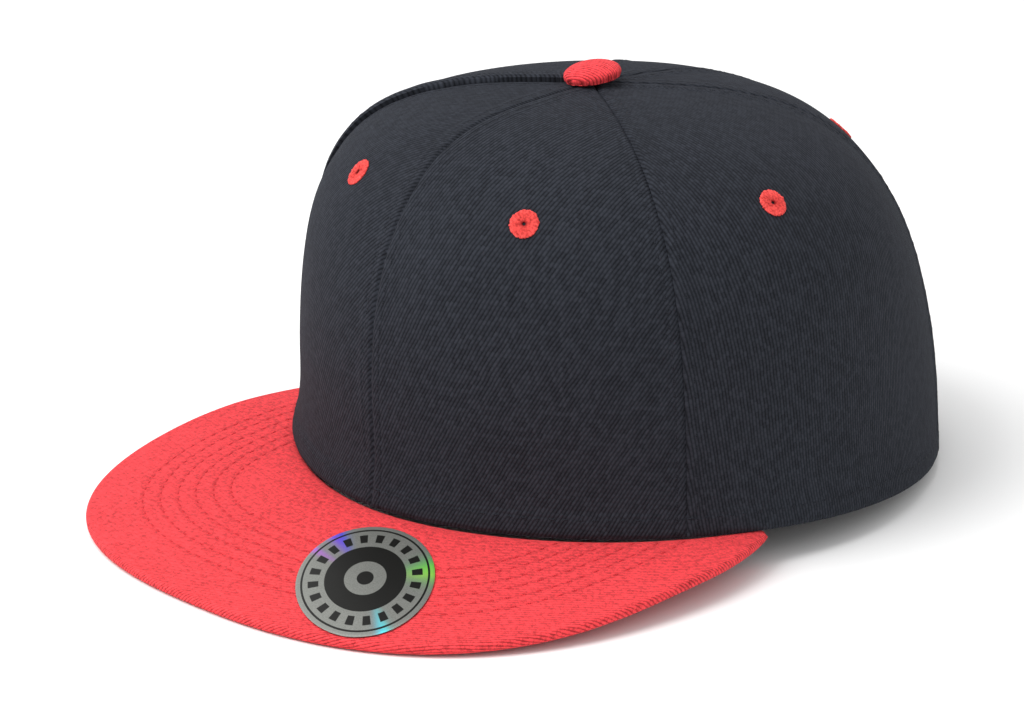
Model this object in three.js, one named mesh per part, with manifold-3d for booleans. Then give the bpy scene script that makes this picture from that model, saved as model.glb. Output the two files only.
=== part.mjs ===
// A six-panel snapback cap with a flat peak, at rest on a level surface.
// Lengths are millimetres and angles degrees. +Z is up, the peak points along -Y and +X is the
// wearer's left. A turn goes round the head from the middle of the front, and a climb goes up
// the crown from 0 at the rim to 1 at the very top.
import * as THREE from "three";
import Module from "manifold-3d";
import { mergeVertices } from "three/addons/utils/BufferGeometryUtils.js";

// Crown
const crownWidth = 181.4;
const crownDepth = 204;
const crownHeight = 116.3;
const crownTopAhead = 14.2;
const rimRise = 11.2;
const clothWall = 2;
const gap = 0.3;
const panelPuff = 1.6;
const puffFullHeight = 0.67;
const shoulderDraw = 1.8;
const drawFullHeight = 0.5;
const topHoleRadius = 2.6;

// Peak
const peakWidth = 193.5;
const peakReach = 167.2;
const peakWidestAhead = 73.3;
const peakThickness = 3.2;
const peakSideRise = 6.4;
const peakBow = 0.6;
const peakTuck = 2;
const peakCornerTurn = 71.1;
const peakSquareness = 2.44;

// Back opening, closing strap and inner band
const archWidth = 92;
const archHeight = 56;
const strapHeight = 19;
const strapThickness = 1.4;
const strapTuck = 13;
const tongueLength = 62;
const tongueThickness = 1.2;
const tongueClearance = 2;
const studRadius = 2.4;
const studHeight = 0.9;
const studPitch = 9.5;
const studCount = 8;
const bandHeight = 30;
const bandThickness = 1.5;
const bandGap = 0.5;

// Button, eyelets and the oval foil sticker on the peak
const buttonWidth = 16.7;
const buttonHeight = 4.9;
const buttonStemRadius = 1.7;
const buttonStemLength = 5;
const buttonTilt = 8;
const buttonTiltTurn = -44;
const eyeletWidth = 8.4;
const eyeletHole = 1.4;
const eyeletHeight = 0.8;
const stickerWidth = 38;
const stickerThickness = 0.3;
const stickerTurn = 45.7;
const stickerMargin = 1.6;
const stickerFromCrown = 1.2;
const stickerAlongLip = 0.276;

// The crown's own outline going up: height as a share of the crown's, and reach to the side,
// front and back as shares of half its width and depth
const crownSections = [
  { height: 0, side: 1, front: 1, back: 1 },
  { height: 0.14, side: 0.965, front: 0.98, back: 1.019 },
  { height: 0.32, side: 0.944, front: 0.979, back: 1.01 },
  { height: 0.52, side: 0.927, front: 0.943, back: 0.95 },
  { height: 0.7, side: 0.883, front: 0.858, back: 0.853 },
  { height: 0.84, side: 0.767, front: 0.73, back: 0.738 },
  { height: 0.93, side: 0.583, front: 0.587, back: 0.585 },
  { height: 0.985, side: 0.32, front: 0.375, back: 0.335 },
  { height: 1, side: 0, front: 0, back: 0 },
];

// The rim's lift off the surface, every 30 degrees from front to back, as a share of rimRise.
// Below nothing it lies flat.
const rimSections = [
  { lift: 0.97 },
  { lift: 1 },
  { lift: 0.99 },
  { lift: 0.73 },
  { lift: 0.34 },
  { lift: -0.04 },
  { lift: -0.06 },
];

// The crown's plan, every 30 degrees from front to back, as a share of the reach of an ellipse:
// broad at the temples, and narrower behind the ears
const planSections = [
  { reach: 0.991 },
  { reach: 0.997 },
  { reach: 1.029 },
  { reach: 1.018 },
  { reach: 0.978 },
  { reach: 0.957 },
  { reach: 0.962 },
];

// Where the seams start at the rim, and how far they swing back on the way up
const seams = {
  middle: { turn: 0, swing: 0 },
  front: { turn: 57.5, swing: 2 },
  back: { turn: 131.7, swing: 6.8 },
  rear: { turn: 180, swing: 0 },
};

const panels = [
  { name: "front", from: seams.middle, to: seams.front },
  { name: "side", from: seams.front, to: seams.back },
  { name: "back", from: seams.back, to: seams.rear },
];
const sides = [
  { name: "left", sign: 1 },
  { name: "right", sign: -1 },
];

// Where the six eyelets are punched, sewn by eye and so not quite alike on the two sides
const eyelets = [
  { name: "front_left", turn: 31, climb: 0.59 },
  { name: "front_right", turn: -23, climb: 0.61 },
  { name: "side_left", turn: 84, climb: 0.61 },
  { name: "side_right", turn: -86, climb: 0.61 },
  { name: "back_left", turn: 154, climb: 0.6 },
  { name: "back_right", turn: -154, climb: 0.6 },
];

const cloth = new THREE.MeshStandardMaterial({ color: 0x20222c, roughness: 0.9, metalness: 0 });
const redCloth = new THREE.MeshStandardMaterial({ color: 0xe8403f, roughness: 0.85, metalness: 0 });
const plastic = new THREE.MeshStandardMaterial({ color: 0x17181d, roughness: 0.45, metalness: 0 });
const foil = new THREE.MeshStandardMaterial({ color: 0xb9bcc2, roughness: 0.3, metalness: 0.9 });

const radians = THREE.MathUtils.degToRad;
const degrees = THREE.MathUtils.radToDeg;
const lerp = THREE.MathUtils.lerp;
const steps = (count) => Array.from({ length: count + 1 }, (_, index) => index / count);

// A smooth curve through one column of a table, from the first row at 0 to the last at 1
function column(table, name) {
  const curve = new THREE.SplineCurve(table.map((row, index) => new THREE.Vector2(index, row[name])));
  return (at) => curve.getPoint(at).y;
}

// Where a function that keeps rising or falling from 0 to 1 meets a value
function solve(curve, value) {
  let low = 0;
  let high = 1;
  const rising = curve(1) > curve(0);
  for (let halving = 0; halving < 40; halving++) {
    const middle = (low + high) / 2;
    if (curve(middle) < value === rising) low = middle;
    else high = middle;
  }
  return low;
}

const heightAt = column(crownSections, "height");
const sideAt = column(crownSections, "side");
const frontAt = column(crownSections, "front");
const backAt = column(crownSections, "back");
const rimAt = column(rimSections, "lift");
const planAt = column(planSections, "reach");

const climbToHeight = (height) => solve(heightAt, height / crownHeight);
const topClimb = solve(sideAt, topHoleRadius / (crownWidth / 2));
const seamTurn = (seam, climb) => seam.turn + seam.swing * Math.sin(radians(90 * climb));
const rimLift = (turn) => rimRise * Math.max(0, rimAt(Math.abs(turn) / 180));

// 1 in the middle of the panel that holds a turn, and 0 on its seams
function panelSwell(turn, climb) {
  const around = Math.abs(turn);
  const panel = panels.find(({ to }) => around <= seamTurn(to, climb)) ?? panels.at(-1);
  const from = seamTurn(panel.from, climb);
  const share = (around - from) / (seamTurn(panel.to, climb) - from);
  return 4 * share * (1 - share);
}

// A point on the crown's outside
function crownPoint(anyTurn, climb) {
  const turn = THREE.MathUtils.euclideanModulo(anyTurn + 180, 360) - 180;
  const ahead = Math.cos(radians(turn));
  const height = heightAt(climb);
  const endReach = ahead > 0 ? frontAt(climb) : backAt(climb);
  const ownReach = lerp(sideAt(climb), endReach, ahead ** 2);
  const grown = (fullHeight) => Math.min(1, height / fullHeight);
  const swell = (panelPuff / (crownWidth / 2)) * panelSwell(turn, climb) * grown(puffFullHeight);
  const drawnIn = ahead > 0 ? shoulderDraw * Math.sin(radians(2 * turn)) ** 2 : 0;
  const draw = (drawnIn / (crownWidth / 2)) * grown(drawFullHeight);
  const reach = ownReach * planAt(Math.abs(turn) / 180) * (1 + swell - draw);
  return new THREE.Vector3(
    (crownWidth / 2) * Math.sin(radians(turn)) * reach,
    (-crownDepth / 2) * ahead * reach - crownTopAhead * height ** 2,
    lerp(rimLift(turn), crownHeight, height),
  );
}

// The same point moved in by a depth, square to the cloth, but level at the rim
function crownInside(turn, climb, depth) {
  const turnStep = 0.5;
  const climbStep = 0.005;
  const levelBelow = 0.1;
  const around = crownPoint(turn + turnStep, climb).sub(crownPoint(turn - turnStep, climb));
  const upward = crownPoint(turn, Math.min(1, climb + climbStep));
  upward.sub(crownPoint(turn, Math.max(0, climb - climbStep)));
  const outward = around.cross(upward).normalize();
  outward.z *= Math.min(1, climb / levelBelow);
  return crownPoint(turn, climb).addScaledVector(outward.normalize(), -depth);
}

// A closed solid between two grids of points: outer[row][column] and inner[row][column]
function slab(outer, inner) {
  const rows = outer.length;
  const columns = outer[0].length;
  const points = [...outer.flat(), ...inner.flat()];
  const at = (layer, row, col) => (layer * rows + row) * columns + col;
  const index = [];
  const quad = (a, b, c, d) => index.push(a, b, c, a, c, d);
  const lastRow = rows - 1;
  const lastColumn = columns - 1;
  for (let row = 0; row < lastRow; row++) {
    for (let col = 0; col < lastColumn; col++) {
      quad(at(0, row, col), at(0, row, col + 1), at(0, row + 1, col + 1), at(0, row + 1, col));
      quad(at(1, row, col), at(1, row + 1, col), at(1, row + 1, col + 1), at(1, row, col + 1));
    }
    const up = row + 1;
    quad(at(0, row, 0), at(0, up, 0), at(1, up, 0), at(1, row, 0));
    quad(at(1, row, lastColumn), at(1, up, lastColumn), at(0, up, lastColumn), at(0, row, lastColumn));
  }
  for (let col = 0; col < lastColumn; col++) {
    quad(at(1, 0, col), at(1, 0, col + 1), at(0, 0, col + 1), at(0, 0, col));
    quad(at(0, lastRow, col), at(0, lastRow, col + 1), at(1, lastRow, col + 1), at(1, lastRow, col));
  }
  return new THREE.BufferGeometry().setFromPoints(points).setIndex(index);
}

function piece(name, geometry, material) {
  const mesh = new THREE.Mesh(geometry, material);
  mesh.name = name;
  return mesh;
}

// Panels. Each edge is a path from the rim to the top, k going from 0 to 1.
const seamEdge = (seam) => (k) => ({ turn: seamTurn(seam, k * topClimb), climb: k * topClimb });

// The rear edge follows the arch over the strap first, and then the rear seam
const archTurn = degrees(Math.asin(archWidth / crownWidth));
const archTurnAt = (height) => archTurn * Math.sqrt(1 - (height / archHeight) ** 2);
function rearEdge(k) {
  const archShare = 0.5;
  if (k < archShare) {
    const height = archHeight * Math.sin(radians((90 * k) / archShare));
    return { turn: seams.rear.turn - archTurnAt(height), climb: climbToHeight(height) };
  }
  const climb = lerp(climbToHeight(archHeight), topClimb, (k - archShare) / (1 - archShare));
  return { turn: seams.rear.turn, climb };
}

// Half the gap between two panels, as a turn at this climb
const halfGapTurn = (climb) => degrees(gap / 2 / ((crownWidth / 2) * sideAt(climb)));

function panelGeometry(panel, sign) {
  const columns = 9;
  const rows = 18;
  const near = seamEdge(panel.from);
  const far = panel.to === seams.rear ? rearEdge : seamEdge(panel.to);
  const grid = (depth) =>
    steps(rows).map((k) => {
      const start = near(k);
      const end = far(k);
      const startTurn = start.turn + halfGapTurn(start.climb);
      const endTurn = end.turn - halfGapTurn(end.climb);
      const row = steps(columns).map((share) => {
        const turn = sign * lerp(startTurn, endTurn, share);
        return crownInside(turn, lerp(start.climb, end.climb, share), depth);
      });
      return sign > 0 ? row : row.reverse();
    });
  return slab(grid(0), grid(clothWall));
}

// Peak. along runs from -1 at the right corner to 1 at the left one.
const peakHalf = peakThickness / 2;

function peakRoot(along) {
  const turn = along * peakCornerTurn;
  const root = crownInside(turn, 0, peakTuck);
  root.z = rimLift(turn) - gap - peakHalf;
  return root;
}

function peakLip(along) {
  const curvedShare = 0.8;
  const share = Math.abs(along);
  const side = Math.sign(along);
  const half = peakWidth / 2;
  const power = 2 / peakSquareness;
  if (share <= curvedShare) {
    const angle = radians((90 * share) / curvedShare);
    const ahead = lerp(peakWidestAhead, peakReach, Math.max(0, Math.cos(angle)) ** power);
    const lift = peakHalf + peakSideRise * (1 - Math.cos(angle)) ** 2;
    return new THREE.Vector3(side * half * Math.sin(angle) ** power, -ahead, lift);
  }
  const back = (share - curvedShare) / (1 - curvedShare);
  const corner = crownPoint(side * peakCornerTurn, 0);
  corner.z += -gap - peakHalf;
  return new THREE.Vector3(
    lerp(side * half, corner.x, back ** 2),
    lerp(-peakWidestAhead, corner.y, back),
    lerp(peakHalf + peakSideRise, corner.z, back),
  );
}

function peakGeometry() {
  const rows = 44;
  const columns = 7;
  const lipAngles = [60, 30, 10];
  const row = (along, face) => {
    const root = peakRoot(along);
    const lip = peakLip(along);
    const outward = lip.clone().sub(root).setZ(0).normalize();
    const flatEnd = lip.clone().addScaledVector(outward, -peakHalf);
    const bow = peakBow * (root.distanceTo(flatEnd) / (peakReach - crownDepth / 2));
    const flat = steps(columns).map((k) => {
      const point = root.clone().lerp(flatEnd, k);
      point.z += face * peakHalf + bow * 4 * k * (1 - k);
      return point;
    });
    const round = lipAngles.map((angle) => {
      const point = flatEnd.clone().addScaledVector(outward, peakHalf * Math.cos(radians(angle)));
      point.z += face * peakHalf * Math.sin(radians(angle));
      return point;
    });
    return [...flat, ...round];
  };
  const grid = (face) => steps(rows).map((k) => row(2 * k - 1, face));
  return slab(grid(1), grid(-1));
}

// A strip that follows the crown's inside, from one turn to another, between two depths
function strip({ fromTurn, toTurn, columns, height, rows, outerDepth, innerDepth }) {
  const topOfStrip = climbToHeight(height);
  const grid = (depthAt) =>
    steps(rows).map((up) =>
      steps(columns).map((share) => {
        const turn = lerp(fromTurn, toTurn, share);
        return crownInside(turn, up * topOfStrip, depthAt(turn));
      }),
    );
  return slab(grid(outerDepth), grid(innerDepth));
}

// The inner band lies on the panels, and steps in at its ends to cover the strap's ends
const strapDepth = clothWall + gap;
const turnPerLength = (length) => degrees(length / (crownWidth / 2));
const strapEndTurn = seams.rear.turn - archTurn - turnPerLength(strapTuck);

function bandGeometry() {
  const easeTurn = 12;
  const endTurn = seams.rear.turn - archTurn;
  const fullTurn = strapEndTurn - turnPerLength(1);
  const stepIn = (turn) =>
    (strapThickness + gap) * THREE.MathUtils.smoothstep(Math.abs(turn), fullTurn - easeTurn, fullTurn);
  return strip({
    fromTurn: -endTurn,
    toTurn: endTurn,
    columns: 56,
    height: bandHeight,
    rows: 5,
    outerDepth: (turn) => clothWall + bandGap + stepIn(turn),
    innerDepth: (turn) => clothWall + bandGap + stepIn(turn) + bandThickness,
  });
}

const wasm = await Module();
wasm.setup();

function toSolid(geometry) {
  const bare = new THREE.BufferGeometry().setAttribute("position", geometry.getAttribute("position"));
  if (geometry.index) bare.setIndex(geometry.index);
  const merged = mergeVertices(bare);
  return new wasm.Manifold(
    new wasm.Mesh({
      numProp: 3,
      vertProperties: merged.attributes.position.array,
      triVerts: new Uint32Array(merged.index.array),
    }),
  );
}

function toGeometry(solid) {
  const mesh = solid.getMesh();
  const position = new THREE.BufferAttribute(new Float32Array(mesh.vertProperties), 3);
  const index = new THREE.BufferAttribute(new Uint32Array(mesh.triVerts), 1);
  return new THREE.BufferGeometry().setAttribute("position", position).setIndex(index);
}

// Turns +Z to the crown's outward direction at a turn and climb, and moves it there
function seatOnCrown(turn, climb, depth) {
  const seat = crownInside(turn, climb, depth);
  const outward = crownPoint(turn, climb).sub(crownInside(turn, climb, clothWall)).normalize();
  const facing = new THREE.Quaternion().setFromUnitVectors(new THREE.Vector3(0, 0, 1), outward);
  return { seat, facing };
}

// The snapped closure: a strap across the back opening, the tongue that lies over it and the
// row of studs, all one plain piece
function strapGeometry() {
  const fuse = 0.3;
  const studSides = 12;
  const reach = seams.rear.turn - strapEndTurn;
  const rear = seams.rear.turn;
  const strap = strip({
    fromTurn: rear - reach,
    toTurn: rear + reach,
    columns: 28,
    height: strapHeight,
    rows: 2,
    outerDepth: () => strapDepth,
    innerDepth: () => strapDepth + strapThickness,
  });
  const tongueEnd = archTurnAt(strapHeight) - turnPerLength(tongueClearance);
  const tongue = strip({
    fromTurn: rear + tongueEnd - turnPerLength(tongueLength),
    toTurn: rear + tongueEnd,
    columns: 14,
    height: strapHeight,
    rows: 2,
    outerDepth: () => strapDepth - tongueThickness,
    innerDepth: () => strapDepth + fuse,
  });
  const studClimb = climbToHeight(strapHeight / 2);
  const studLength = tongueThickness + studHeight + fuse;
  const firstTurn = rear - turnPerLength((studPitch * (studCount - 1)) / 2);
  const studs = Array.from({ length: studCount }, (_, index) => {
    const turn = firstTurn + turnPerLength(studPitch * index);
    const { seat, facing } = seatOnCrown(turn, studClimb, strapDepth + fuse);
    const stud = new THREE.CylinderGeometry(studRadius, studRadius, studLength, studSides);
    stud.rotateX(Math.PI / 2).translate(0, 0, studLength / 2);
    return stud.applyQuaternion(facing).translate(seat.x, seat.y, seat.z);
  });
  const joined = [tongue, ...studs].reduce((sum, geometry) => sum.add(toSolid(geometry)), toSolid(strap));
  return toGeometry(joined);
}

// A low dome on a stem that goes through the hole where the panels meet
function buttonGeometry() {
  const radius = buttonWidth / 2;
  const domeSteps = 7;
  const sides = 26;
  const skirt = 0.2;
  const fullness = 0.8;
  const dome = steps(domeSteps).map((k) => {
    const angle = radians(90 * k);
    const up = lerp(skirt, 1, Math.sin(angle));
    return new THREE.Vector2(radius * Math.cos(angle) ** fullness, buttonHeight * up);
  });
  const profile = [
    new THREE.Vector2(0, -buttonStemLength),
    new THREE.Vector2(buttonStemRadius, -buttonStemLength),
    new THREE.Vector2(buttonStemRadius, 0),
    new THREE.Vector2(radius, 0),
    ...dome.slice(0, -1),
    new THREE.Vector2(0, buttonHeight),
  ];
  return new THREE.LatheGeometry(profile, sides).rotateX(Math.PI / 2);
}

// A flat ring with a rounded crest
function eyeletGeometry() {
  const sides = 16;
  const outer = eyeletWidth / 2;
  const inner = eyeletHole / 2;
  const crest = [
    { reach: 0, height: 0 },
    { reach: 1, height: 0 },
    { reach: 0.98, height: 0.5 },
    { reach: 0.78, height: 1 },
    { reach: 0.25, height: 1 },
    { reach: 0.03, height: 0.5 },
    { reach: 0, height: 0 },
  ];
  const profile = crest.map(
    (row) => new THREE.Vector2(lerp(inner, outer, row.reach), row.height * eyeletHeight),
  );
  return new THREE.LatheGeometry(profile, sides).rotateX(Math.PI / 2);
}

// An oval foil disc, bent to the peak under it. Its tip keeps a margin to the peak's lip, and it is
// as long as the peak in its middle, less a clearance to the crown.
function stickerGeometry(peak) {
  const rings = 5;
  const sides = 28;
  const stickerLength = peakReach - crownDepth / 2 - stickerFromCrown;
  const radii = steps(rings);
  const profile = [
    ...radii.map((share) => new THREE.Vector2(share, 0)),
    ...radii.toReversed().map((share) => new THREE.Vector2(share, stickerThickness)),
  ];
  const sticker = new THREE.LatheGeometry(profile, sides).rotateX(Math.PI / 2);
  sticker.scale(stickerWidth / 2, stickerLength / 2, 1).translate(0, stickerMargin + stickerLength / 2, 0);
  const lip = peakLip(stickerAlongLip);
  sticker.rotateZ(radians(stickerTurn)).translate(lip.x, lip.y, gap);
  const position = sticker.getAttribute("position");
  const down = new THREE.Vector3(0, 0, -1);
  for (let index = 0; index < position.count; index++) {
    const above = new THREE.Vector3(position.getX(index), position.getY(index), crownHeight);
    const [hit] = new THREE.Raycaster(above, down).intersectObject(peak);
    position.setZ(index, position.getZ(index) + hit.point.z);
  }
  return sticker;
}

const cap = new THREE.Group();

for (const panel of panels) {
  for (const side of sides) {
    cap.add(piece(`panel_${panel.name}_${side.name}`, panelGeometry(panel, side.sign), cloth));
  }
}

for (const { name, turn, climb } of eyelets) {
  const eyelet = piece(`eyelet_${name}`, eyeletGeometry(), redCloth);
  const { seat, facing } = seatOnCrown(turn, climb, -gap);
  eyelet.position.copy(seat);
  eyelet.quaternion.copy(facing);
  cap.add(eyelet);
}

const peak = piece("peak", peakGeometry(), redCloth);
cap.add(peak);
cap.add(piece("peak_sticker", stickerGeometry(peak), foil));
cap.add(piece("sweatband", bandGeometry(), cloth));
cap.add(piece("snap_strap", strapGeometry(), plastic));

// The button leans a little, and its low edge keeps the gap to the crown
const button = piece("top_button", buttonGeometry(), redCloth);
const buttonLift = (buttonWidth / 2) * Math.sin(radians(buttonTilt));
const leanTurn = radians(buttonTiltTurn);
const leanAxis = new THREE.Vector3(Math.cos(leanTurn), Math.sin(leanTurn), 0);
button.position.set(0, -crownTopAhead, crownHeight + gap + buttonLift);
button.quaternion.setFromAxisAngle(leanAxis, radians(buttonTilt));
cap.add(button);

// The origin is the middle of the footprint, on the surface that the cap rests on
const extent = new THREE.Box3().setFromObject(cap);
const middle = extent.getCenter(new THREE.Vector3());
cap.position.set(-middle.x, -middle.y, -extent.min.z);

export default cap;
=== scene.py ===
# %% [markdown]
# A six-panel snapback cap with a flat peak.
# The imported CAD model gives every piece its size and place. Here each piece gets what makes it cloth, thread, plastic
# or foil: soft forms, seams, stitches and a finish. Everything is in metres, in the same frame as the CAD model.

# %% Load the frame
import math

import bpy
import numpy as np
from mathutils import Matrix, Vector, noise
from mathutils.bvhtree import BVHTree
from mathutils.geometry import convex_hull_2d


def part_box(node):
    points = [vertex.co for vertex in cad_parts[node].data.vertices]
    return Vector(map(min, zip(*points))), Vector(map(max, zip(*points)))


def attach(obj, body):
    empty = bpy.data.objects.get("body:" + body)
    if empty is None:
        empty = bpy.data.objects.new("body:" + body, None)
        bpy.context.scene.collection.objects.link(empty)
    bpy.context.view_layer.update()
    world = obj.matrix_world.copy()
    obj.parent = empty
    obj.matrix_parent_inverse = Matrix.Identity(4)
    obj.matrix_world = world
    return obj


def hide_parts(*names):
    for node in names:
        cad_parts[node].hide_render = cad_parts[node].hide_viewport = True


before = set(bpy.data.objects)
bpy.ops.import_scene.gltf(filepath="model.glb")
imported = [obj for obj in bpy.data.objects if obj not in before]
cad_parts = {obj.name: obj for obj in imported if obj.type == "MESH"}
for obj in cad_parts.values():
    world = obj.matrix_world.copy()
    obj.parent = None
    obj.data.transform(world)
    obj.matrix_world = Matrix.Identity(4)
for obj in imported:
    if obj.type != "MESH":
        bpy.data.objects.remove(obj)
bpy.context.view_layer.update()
MM = 0.001

# %% [markdown]
# Small helpers come first. An operator works on all that is selected, so picking one object deselects the rest, and a
# rule chooses the faces or edges that an edit-mode operator is meant for.

# %% Helpers for operators
def pick(obj):
    bpy.ops.object.select_all(action="DESELECT")
    obj.select_set(True)
    bpy.context.view_layer.objects.active = obj


def choose(obj, kind, rule):
    """Selects the vertices, edges or polygons of a mesh that a rule says yes to."""
    mesh = obj.data
    kinds = ("vertices", "edges", "polygons")
    for each in kinds:
        items = getattr(mesh, each)
        items.foreach_set("select", [False] * len(items))
    chosen = [bool(rule(item)) for item in getattr(mesh, kind)]
    getattr(mesh, kind).foreach_set("select", chosen)
    bpy.context.tool_settings.mesh_select_mode = [each == kind for each in kinds]


def edit(obj, *steps):
    """Runs edit-mode steps on the chosen part of a mesh."""
    pick(obj)
    bpy.ops.object.mode_set(mode="EDIT")
    for step in steps:
        step()
    bpy.ops.object.mode_set(mode="OBJECT")


def modify(obj, kind, **settings):
    """Adds a modifier and applies it at once."""
    modifier = obj.modifiers.new(kind.title(), kind)
    for name, value in settings.items():
        setattr(modifier, name, value)
    pick(obj)
    bpy.ops.object.modifier_apply(modifier=modifier.name)


def smooth(obj, angle=180):
    pick(obj)
    bpy.ops.object.shade_smooth_by_angle(angle=math.radians(angle))


# %% Helpers that read and move the points of a mesh
def places(obj):
    found = np.empty(len(obj.data.vertices) * 3, np.float32)
    obj.data.vertices.foreach_get("co", found)
    return found.reshape(-1, 3).astype(float)


def move_to(obj, points):
    obj.data.vertices.foreach_set("co", np.asarray(points, np.float32).ravel())
    obj.data.update()


def facings(obj):
    found = np.empty(len(obj.data.vertices) * 3, np.float32)
    obj.data.vertices.foreach_get("normal", found)
    return found.reshape(-1, 3).astype(float)


def corner_points(mesh):
    """The number of the point that each face corner of a mesh belongs to."""
    found = np.empty(len(mesh.loops), np.int32)
    mesh.loops.foreach_get("vertex_index", found)
    return found


def write_map(layer, flat):
    """Writes the flat place of each face corner into a map."""
    layer.uv.foreach_set("vector", np.asarray(flat, np.float32).ravel())


def nearest_on_line(points, line):
    """How far each point is from a line through several points, with chunks to save memory."""
    start, step = line[:-1], np.diff(line, axis=0)
    length = np.maximum((step**2).sum(1), 1e-18)
    found = []
    for part in np.array_split(points, max(1, len(points) // 2000)):
        along = ((part[:, None] - start) * step).sum(2) / length
        foot = start + along.clip(0, 1)[..., None] * step
        found.append(np.sqrt(((part[:, None] - foot) ** 2).sum(2)).min(1))
    return np.concatenate(found)


def ramp(values, low, high):
    """0 below low, 1 above high and a smooth rise between."""
    share = ((values - low) / (high - low)).clip(0, 1)
    return share * share * (3 - 2 * share)


def hill(values, middle, width):
    return np.exp(-(((values - middle) / width) ** 2))


def murmur(points, size, seed):
    """Soft noise from about -1 to 1, with swells of a given size."""
    shift = Vector((seed * 7.3, seed * 3.1, seed * 5.7))
    return np.array([noise.noise(Vector(point) / size + shift) for point in points])


# %% [markdown]
# The camera stands at the front left of the cap, a little above it. A long lens from over a metre away gives the
# gentle perspective of a product picture. The place it aims at is a few centimetres beside the middle of the cap,
# which keeps the lens free of any shift.

# %% Camera
CAMERA_TURN = 45.7
CAMERA_RISE = 18.8
CAMERA_DISTANCE = 1.18
LENS = 140.6
SENSOR_WIDTH = 36
AIM = Vector((-0.0283, 0.0153, 0.0276))


def direction(turn, rise):
    """The direction from the cap to something at a turn to its left and a rise above the floor."""
    turn, rise = math.radians(turn), math.radians(rise)
    return Vector((math.sin(turn) * math.cos(rise), -math.cos(turn) * math.cos(rise), math.sin(rise)))


backward = direction(CAMERA_TURN, CAMERA_RISE)
camera = bpy.data.objects.new("camera", bpy.data.cameras.new("camera"))
camera.data.lens = LENS
camera.data.sensor_width = SENSOR_WIDTH
camera.location = AIM + CAMERA_DISTANCE * backward
camera.rotation_euler = backward.to_track_quat("Z", "Y").to_euler()
bpy.context.scene.collection.objects.link(camera)
bpy.context.scene.camera = camera
print("camera at", [round(value, 3) for value in camera.location])

# %% [markdown]
# Soft studio light: a bright even surround, one large soft box high on the left, a wide one overhead and a weaker one
# on the right. The floor is a large pale plane just under the cap. It is stage, not part of the cap.

# %% Floor and lights
FLOOR_SIZE = 12
FLOOR_GAP = 0.1 * MM
FLOOR_COLOUR = (0.92, 0.92, 0.92, 1)
SURROUND = 0.74


def soft_box(name, turn, rise, distance, size, watts):
    light = bpy.data.lights.new(name, "AREA")
    light.shape = "DISK"
    light.size = size
    light.energy = watts
    lamp = bpy.data.objects.new(name, light)
    towards = direction(turn, rise)
    lamp.location = AIM + distance * towards
    lamp.rotation_euler = towards.to_track_quat("Z", "Y").to_euler()
    bpy.context.scene.collection.objects.link(lamp)


bpy.ops.object.select_all(action="DESELECT")
bpy.ops.mesh.primitive_plane_add(size=FLOOR_SIZE, location=(0, 0, -FLOOR_GAP))
floor = bpy.context.object
floor.name = "floor"
pale = bpy.data.materials.new("pale_floor")
pale.use_nodes = True
pale.node_tree.nodes["Principled BSDF"].inputs["Base Color"].default_value = FLOOR_COLOUR
pale.node_tree.nodes["Principled BSDF"].inputs["Roughness"].default_value = 0.9
floor.data.materials.append(pale)

world = bpy.data.worlds.new("studio")
world.use_nodes = True
world.node_tree.nodes["Background"].inputs["Color"].default_value = (1, 1, 1, 1)
world.node_tree.nodes["Background"].inputs["Strength"].default_value = SURROUND
bpy.context.scene.world = world
bpy.context.scene.view_settings.view_transform = "Standard"
soft_box("key", turn=-20, rise=50, distance=1.6, size=1.2, watts=19)
soft_box("overhead", turn=-60, rise=80, distance=1.8, size=1.6, watts=10)
soft_box("fill", turn=100, rise=30, distance=1.8, size=1.4, watts=2)

# %% [markdown]
# Finishes are node materials. These helpers place nodes and join them, so that each finish reads as a short recipe.

# %% Helpers for node trees
MIX_FACTOR, MIX_FIRST, MIX_SECOND = 0, 6, 7
MIX_RESULT = 2


def place(tree, kind, inputs=None, **settings):
    """Adds a node, sets its properties, and sets or joins its inputs by name or number."""
    made = tree.nodes.new(kind)
    for name, value in settings.items():
        setattr(made, name, value)
    for name, value in (inputs or {}).items():
        if isinstance(value, bpy.types.NodeSocket):
            tree.links.new(value, made.inputs[name])
        else:
            made.inputs[name].default_value = value
    return made


def maths(tree, operation, *values, clamp=False):
    made = place(tree, "ShaderNodeMath", dict(enumerate(values)), operation=operation, use_clamp=clamp)
    return made.outputs[0]


def blend(tree, share, first, second):
    """Mixes two colours by a share."""
    inputs = {MIX_FACTOR: share, MIX_FIRST: first, MIX_SECOND: second}
    return place(tree, "ShaderNodeMix", inputs, data_type="RGBA").outputs[MIX_RESULT]


def new_group(name, inputs, outputs):
    """An empty node group. Inputs are (name, kind, value) and outputs are (name, kind)."""
    group = bpy.data.node_groups.new(name, "ShaderNodeTree")
    for title, kind, value in inputs:
        socket = group.interface.new_socket(title, in_out="INPUT", socket_type="NodeSocket" + kind)
        if value is not None:
            socket.default_value = value
    for title, kind in outputs:
        group.interface.new_socket(title, in_out="OUTPUT", socket_type="NodeSocket" + kind)
    return group, group.nodes.new("NodeGroupInput").outputs, group.nodes.new("NodeGroupOutput").inputs


def use_group(tree, group, inputs):
    made = tree.nodes.new("ShaderNodeGroup")
    made.node_tree = group
    for name, value in inputs.items():
        if isinstance(value, bpy.types.NodeSocket):
            tree.links.new(value, made.inputs[name])
        else:
            made.inputs[name].default_value = value
    return made.outputs


def new_material(name, **constants):
    """A node material. Values that are the same all over sit on the shader's own sockets."""
    material = bpy.data.materials.new(name)
    material.use_nodes = True
    shader = material.node_tree.nodes["Principled BSDF"]
    for title, value in constants.items():
        shader.inputs[title.replace("_", " ")].default_value = value
    return material, material.node_tree, shader


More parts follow.
